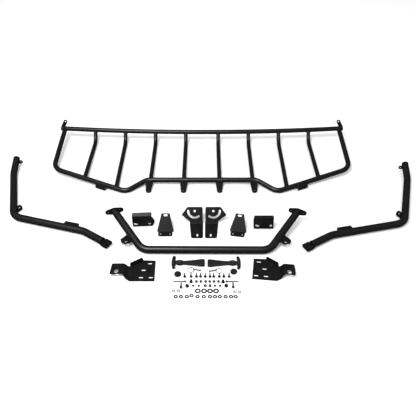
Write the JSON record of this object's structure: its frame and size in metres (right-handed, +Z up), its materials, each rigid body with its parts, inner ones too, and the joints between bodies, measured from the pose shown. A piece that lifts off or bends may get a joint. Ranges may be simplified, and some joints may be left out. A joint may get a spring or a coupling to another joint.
{
  "type": "front grille guard kit",
  "caption": "Tubular front grille guard laid out as a kit, with side arms, a centre bar, brackets, rubber latches and rows of fasteners.",
  "frame": {"origin": "on the floor, below the middle of the laid-out kit", "axes": "+X to the right along the guard's top tube, +Y from the rows of fasteners towards the guard's top tube, +Z up"},
  "size_m": [3.147, 1.7543, 0.1775],
  "materials": {
    "black_powder_coat": "satin black powder coat",
    "black_plate": "satin black powder coat on plate",
    "black_plastic": "moulded plug",
    "black_rubber": "matt moulded rubber",
    "black_fastener": "black oxide",
    "zinc": "zinc plated",
    "pale_nylon": "natural nylon"
  },
  "bodies": {
    "guard": {"top_tube": "black_powder_coat", "hoop_tube": "black_powder_coat", "upright_1": "black_powder_coat", "upright_2": "black_powder_coat", "upright_3": "black_powder_coat", "upright_4": "black_powder_coat", "upright_5": "black_powder_coat", "upright_6": "black_powder_coat", "upright_7": "black_powder_coat", "upright_8": "black_powder_coat", "top_plugs": "black_plastic", "corner_tabs": "black_plate", "hinge_tongue_1": "black_plate", "hinge_tongue_2": "black_plate", "hinge_tongue_3": "black_plate", "hinge_tongue_4": "black_plate", "keeper_left": "black_plate", "keeper_right": "black_plate"},
    "side_arm_left": {"arm_tube_left": "black_powder_coat", "arm_clevis_left": "black_plate", "arm_corner_tab_left": "black_plate", "arm_saddle_left": "black_plate", "arm_end_tab_left": "black_plate", "arm_plug_left": "black_plastic"},
    "side_arm_right": {"arm_tube_right": "black_powder_coat", "arm_clevis_right": "black_plate", "arm_corner_tab_right": "black_plate", "arm_saddle_right": "black_plate", "arm_end_tab_right": "black_plate", "arm_plug_right": "black_plastic"},
    "centre_bar": {"bar_tube": "black_powder_coat", "bar_flange_left": "black_plate", "bar_flange_right": "black_plate", "bar_ears_left": "black_plate", "bar_ears_right": "black_plate"},
    "pivot_plate_left": {"pivot_plate_left": "black_plate"},
    "pivot_plate_right": {"pivot_plate_right": "black_plate"},
    "channel_bracket_left": {"channel_bracket_left": "black_plate"},
    "channel_bracket_right": {"channel_bracket_right": "black_plate"},
    "angle_bracket_left": {"angle_bracket_left": "black_plate"},
    "angle_bracket_right": {"angle_bracket_right": "black_plate"},
    "frame_bracket_left": {"frame_bracket_left": "black_plate"},
    "frame_bracket_right": {"frame_bracket_right": "black_plate"},
    "latch_left": {"latch_left": "black_rubber"},
    "latch_right": {"latch_right": "black_rubber"},
    "clevis_pin_left": {"clevis_pin_left": "zinc"},
    "clevis_pin_right": {"clevis_pin_right": "zinc"},
    "pull_ring_left": {"pull_ring_left": "zinc"},
    "pull_ring_right": {"pull_ring_right": "zinc"},
    "loose_fasteners": {"rubber_pucks": "black_rubber", "flange_bolts": "black_fastener", "long_bolts": "black_fastener", "rubber_cones": "black_rubber", "short_bolts": "black_fastener", "ball_caps": "black_rubber", "lock_nuts": "black_fastener", "small_washers": "zinc", "large_washers": "zinc", "zinc_washers": "zinc", "nylon_washers": "pale_nylon"}
  },
  "joints": [
    {"name": "side_arm_left_lift", "type": "slide", "parent": "guard", "child": "side_arm_left", "axis": [0, 0, 1], "range_m": [0, 0.25]},
    {"name": "side_arm_right_lift", "type": "slide", "parent": "guard", "child": "side_arm_right", "axis": [0, 0, 1], "range_m": [0, 0.25]},
    {"name": "centre_bar_lift", "type": "slide", "parent": "guard", "child": "centre_bar", "axis": [0, 0, 1], "range_m": [0, 0.25]},
    {"name": "pivot_plate_left_lift", "type": "slide", "parent": "guard", "child": "pivot_plate_left", "axis": [0, 0, 1], "range_m": [0, 0.25]},
    {"name": "pivot_plate_right_lift", "type": "slide", "parent": "guard", "child": "pivot_plate_right", "axis": [0, 0, 1], "range_m": [0, 0.25]},
    {"name": "channel_bracket_left_lift", "type": "slide", "parent": "guard", "child": "channel_bracket_left", "axis": [0, 0, 1], "range_m": [0, 0.25]},
    {"name": "channel_bracket_right_lift", "type": "slide", "parent": "guard", "child": "channel_bracket_right", "axis": [0, 0, 1], "range_m": [0, 0.25]},
    {"name": "angle_bracket_left_lift", "type": "slide", "parent": "guard", "child": "angle_bracket_left", "axis": [0, 0, 1], "range_m": [0, 0.25]},
    {"name": "angle_bracket_right_lift", "type": "slide", "parent": "guard", "child": "angle_bracket_right", "axis": [0, 0, 1], "range_m": [0, 0.25]},
    {"name": "frame_bracket_left_lift", "type": "slide", "parent": "guard", "child": "frame_bracket_left", "axis": [0, 0, 1], "range_m": [0, 0.25]},
    {"name": "frame_bracket_right_lift", "type": "slide", "parent": "guard", "child": "frame_bracket_right", "axis": [0, 0, 1], "range_m": [0, 0.25]},
    {"name": "latch_left_lift", "type": "slide", "parent": "guard", "child": "latch_left", "axis": [0, 0, 1], "range_m": [0, 0.25]},
    {"name": "latch_right_lift", "type": "slide", "parent": "guard", "child": "latch_right", "axis": [0, 0, 1], "range_m": [0, 0.25]},
    {"name": "clevis_pin_left_lift", "type": "slide", "parent": "guard", "child": "clevis_pin_left", "axis": [0, 0, 1], "range_m": [0, 0.25]},
    {"name": "clevis_pin_right_lift", "type": "slide", "parent": "guard", "child": "clevis_pin_right", "axis": [0, 0, 1], "range_m": [0, 0.25]},
    {"name": "loose_fasteners_lift", "type": "slide", "parent": "guard", "child": "loose_fasteners", "axis": [0, 0, 1], "range_m": [0, 0.25]},
    {"name": "pull_ring_left_swing", "type": "hinge", "parent": "clevis_pin_left", "child": "pull_ring_left", "pos_m": [-0.10651, -0.64754, 0.006], "axis": [-0.2079, 0.9781, 0], "range_deg": [0, 110]},
    {"name": "pull_ring_right_swing", "type": "hinge", "parent": "clevis_pin_right", "child": "pull_ring_right", "pos_m": [0.03473, -0.65462, 0.006], "axis": [-0.1908, -0.9816, 0], "range_deg": [0, 110]}
  ]
}
